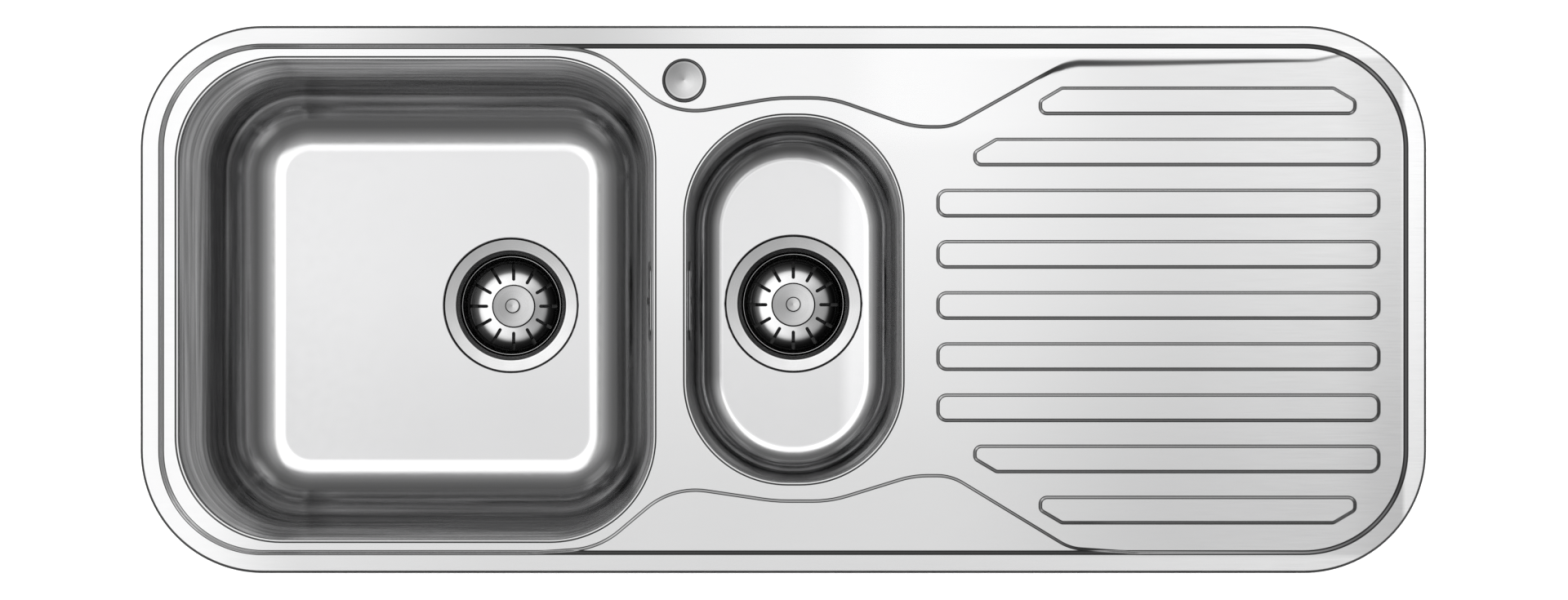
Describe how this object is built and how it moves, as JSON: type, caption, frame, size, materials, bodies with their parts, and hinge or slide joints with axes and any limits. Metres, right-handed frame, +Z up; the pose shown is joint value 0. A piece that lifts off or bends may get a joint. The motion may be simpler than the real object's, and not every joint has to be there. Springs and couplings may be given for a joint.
{
  "type": "kitchen sink with drainboard",
  "caption": "Inset stainless steel kitchen sink: a square main bowl, a narrow half bowl and a ribbed drainboard beside them, with basket strainers and a shared overflow.",
  "frame": {"origin": "centre of the rim outline, on the plane where the rim rests on the worktop", "axes": "+X to the drainboard, +Y to the back where the tap stands, +Z up out of the worktop"},
  "size_m": [1.08, 0.46, 0.2736],
  "materials": {
    "satin_steel": "fine satin stainless sheet",
    "bowl_steel": "drawn and polished stainless sheet",
    "spun_steel": "turned and polished stainless",
    "zinc_steel": "bright zinc plated steel",
    "rubber": "black moulded rubber",
    "grey_plastic": "moulded polypropylene",
    "sound_pad": "bitumen felt"
  },
  "bodies": {
    "sink": {"deck": "satin_steel", "main_bowl": "bowl_steel", "half_bowl": "bowl_steel", "tap_hole_cover": "spun_steel", "main_strainer_cup": "spun_steel", "main_centre_screw": "spun_steel", "main_overflow_plate": "spun_steel", "main_overflow_screw": "spun_steel", "half_strainer_cup": "spun_steel", "half_centre_screw": "spun_steel", "half_overflow_plate": "spun_steel", "half_overflow_screw": "spun_steel", "tap_cover_bridge": "zinc_steel", "tap_cover_nut": "zinc_steel", "clip_1_bracket": "zinc_steel", "clip_2_bracket": "zinc_steel", "clip_3_bracket": "zinc_steel", "clip_4_bracket": "zinc_steel", "clip_5_bracket": "zinc_steel", "clip_6_bracket": "zinc_steel", "clip_7_bracket": "zinc_steel", "clip_8_bracket": "zinc_steel", "rim_seal": "rubber", "tap_cover_seal": "rubber", "main_flange_seal": "rubber", "main_body_seal": "rubber", "main_overflow_seal": "rubber", "half_flange_seal": "rubber", "half_body_seal": "rubber", "half_overflow_seal": "rubber", "overflow_housing": "grey_plastic", "overflow_pipe": "grey_plastic", "overflow_pipe_nut": "grey_plastic", "main_waste_body": "grey_plastic", "half_waste_body": "grey_plastic", "main_bowl_pad": "sound_pad", "half_bowl_pad": "sound_pad", "drainer_pad": "sound_pad"},
    "main_basket": {"main_basket": "spun_steel", "main_basket_stopper": "rubber", "main_basket_knob": "spun_steel"},
    "half_basket": {"half_basket": "spun_steel", "half_basket_stopper": "rubber", "half_basket_knob": "spun_steel"},
    "clip_1_screw": {"clip_1_screw": "zinc_steel"},
    "clip_1_jaw": {"clip_1_jaw": "zinc_steel"},
    "clip_2_screw": {"clip_2_screw": "zinc_steel"},
    "clip_2_jaw": {"clip_2_jaw": "zinc_steel"},
    "clip_3_screw": {"clip_3_screw": "zinc_steel"},
    "clip_3_jaw": {"clip_3_jaw": "zinc_steel"},
    "clip_4_screw": {"clip_4_screw": "zinc_steel"},
    "clip_4_jaw": {"clip_4_jaw": "zinc_steel"},
    "clip_5_screw": {"clip_5_screw": "zinc_steel"},
    "clip_5_jaw": {"clip_5_jaw": "zinc_steel"},
    "clip_6_screw": {"clip_6_screw": "zinc_steel"},
    "clip_6_jaw": {"clip_6_jaw": "zinc_steel"},
    "clip_7_screw": {"clip_7_screw": "zinc_steel"},
    "clip_7_jaw": {"clip_7_jaw": "zinc_steel"},
    "clip_8_screw": {"clip_8_screw": "zinc_steel"},
    "clip_8_jaw": {"clip_8_jaw": "zinc_steel"}
  },
  "joints": [
    {"name": "main_basket_lift", "type": "slide", "parent": "sink", "child": "main_basket", "axis": [0, 0, 1], "range_m": [0, 0.24]},
    {"name": "half_basket_lift", "type": "slide", "parent": "sink", "child": "half_basket", "axis": [0, 0, 1], "range_m": [0, 0.19]},
    {"name": "clip_1_swing", "type": "hinge", "parent": "sink", "child": "clip_1_screw", "pos_m": [-0.30925, 0.2105, -0.04], "axis": [0, 0, 1], "range_deg": [0, 90]},
    {"name": "clip_1_clamp", "type": "slide", "parent": "clip_1_screw", "child": "clip_1_jaw", "axis": [0, 0, 1], "range_m": [0, 0.036]},
    {"name": "clip_2_swing", "type": "hinge", "parent": "sink", "child": "clip_2_screw", "pos_m": [0.0088, 0.2105, -0.04], "axis": [0, 0, 1], "range_deg": [0, 90]},
    {"name": "clip_2_clamp", "type": "slide", "parent": "clip_2_screw", "child": "clip_2_jaw", "axis": [0, 0, 1], "range_m": [0, 0.036]},
    {"name": "clip_3_swing", "type": "hinge", "parent": "sink", "child": "clip_3_screw", "pos_m": [0.31495, 0.2105, -0.04], "axis": [0, 0, 1], "range_deg": [0, 90]},
    {"name": "clip_3_clamp", "type": "slide", "parent": "clip_3_screw", "child": "clip_3_jaw", "axis": [0, 0, 1], "range_m": [0, 0.036]},
    {"name": "clip_4_swing", "type": "hinge", "parent": "sink", "child": "clip_4_screw", "pos_m": [-0.30925, -0.2105, -0.04], "axis": [0, 0, 1], "range_deg": [0, 90]},
    {"name": "clip_4_clamp", "type": "slide", "parent": "clip_4_screw", "child": "clip_4_jaw", "axis": [0, 0, 1], "range_m": [0, 0.036]},
    {"name": "clip_5_swing", "type": "hinge", "parent": "sink", "child": "clip_5_screw", "pos_m": [0.0088, -0.2105, -0.04], "axis": [0, 0, 1], "range_deg": [0, 90]},
    {"name": "clip_5_clamp", "type": "slide", "parent": "clip_5_screw", "child": "clip_5_jaw", "axis": [0, 0, 1], "range_m": [0, 0.036]},
    {"name": "clip_6_swing", "type": "hinge", "parent": "sink", "child": "clip_6_screw", "pos_m": [0.31495, -0.2105, -0.04], "axis": [0, 0, 1], "range_deg": [0, 90]},
    {"name": "clip_6_clamp", "type": "slide", "parent": "clip_6_screw", "child": "clip_6_jaw", "axis": [0, 0, 1], "range_m": [0, 0.036]},
    {"name": "clip_7_swing", "type": "hinge", "parent": "sink", "child": "clip_7_screw", "pos_m": [-0.5205, 0, -0.04], "axis": [0, 0, 1], "range_deg": [0, 90]},
    {"name": "clip_7_clamp", "type": "slide", "parent": "clip_7_screw", "child": "clip_7_jaw", "axis": [0, 0, 1], "range_m": [0, 0.036]},
    {"name": "clip_8_swing", "type": "hinge", "parent": "sink", "child": "clip_8_screw", "pos_m": [0.5205, 0, -0.04], "axis": [0, 0, 1], "range_deg": [0, 90]},
    {"name": "clip_8_clamp", "type": "slide", "parent": "clip_8_screw", "child": "clip_8_jaw", "axis": [0, 0, 1], "range_m": [0, 0.036]}
  ]
}
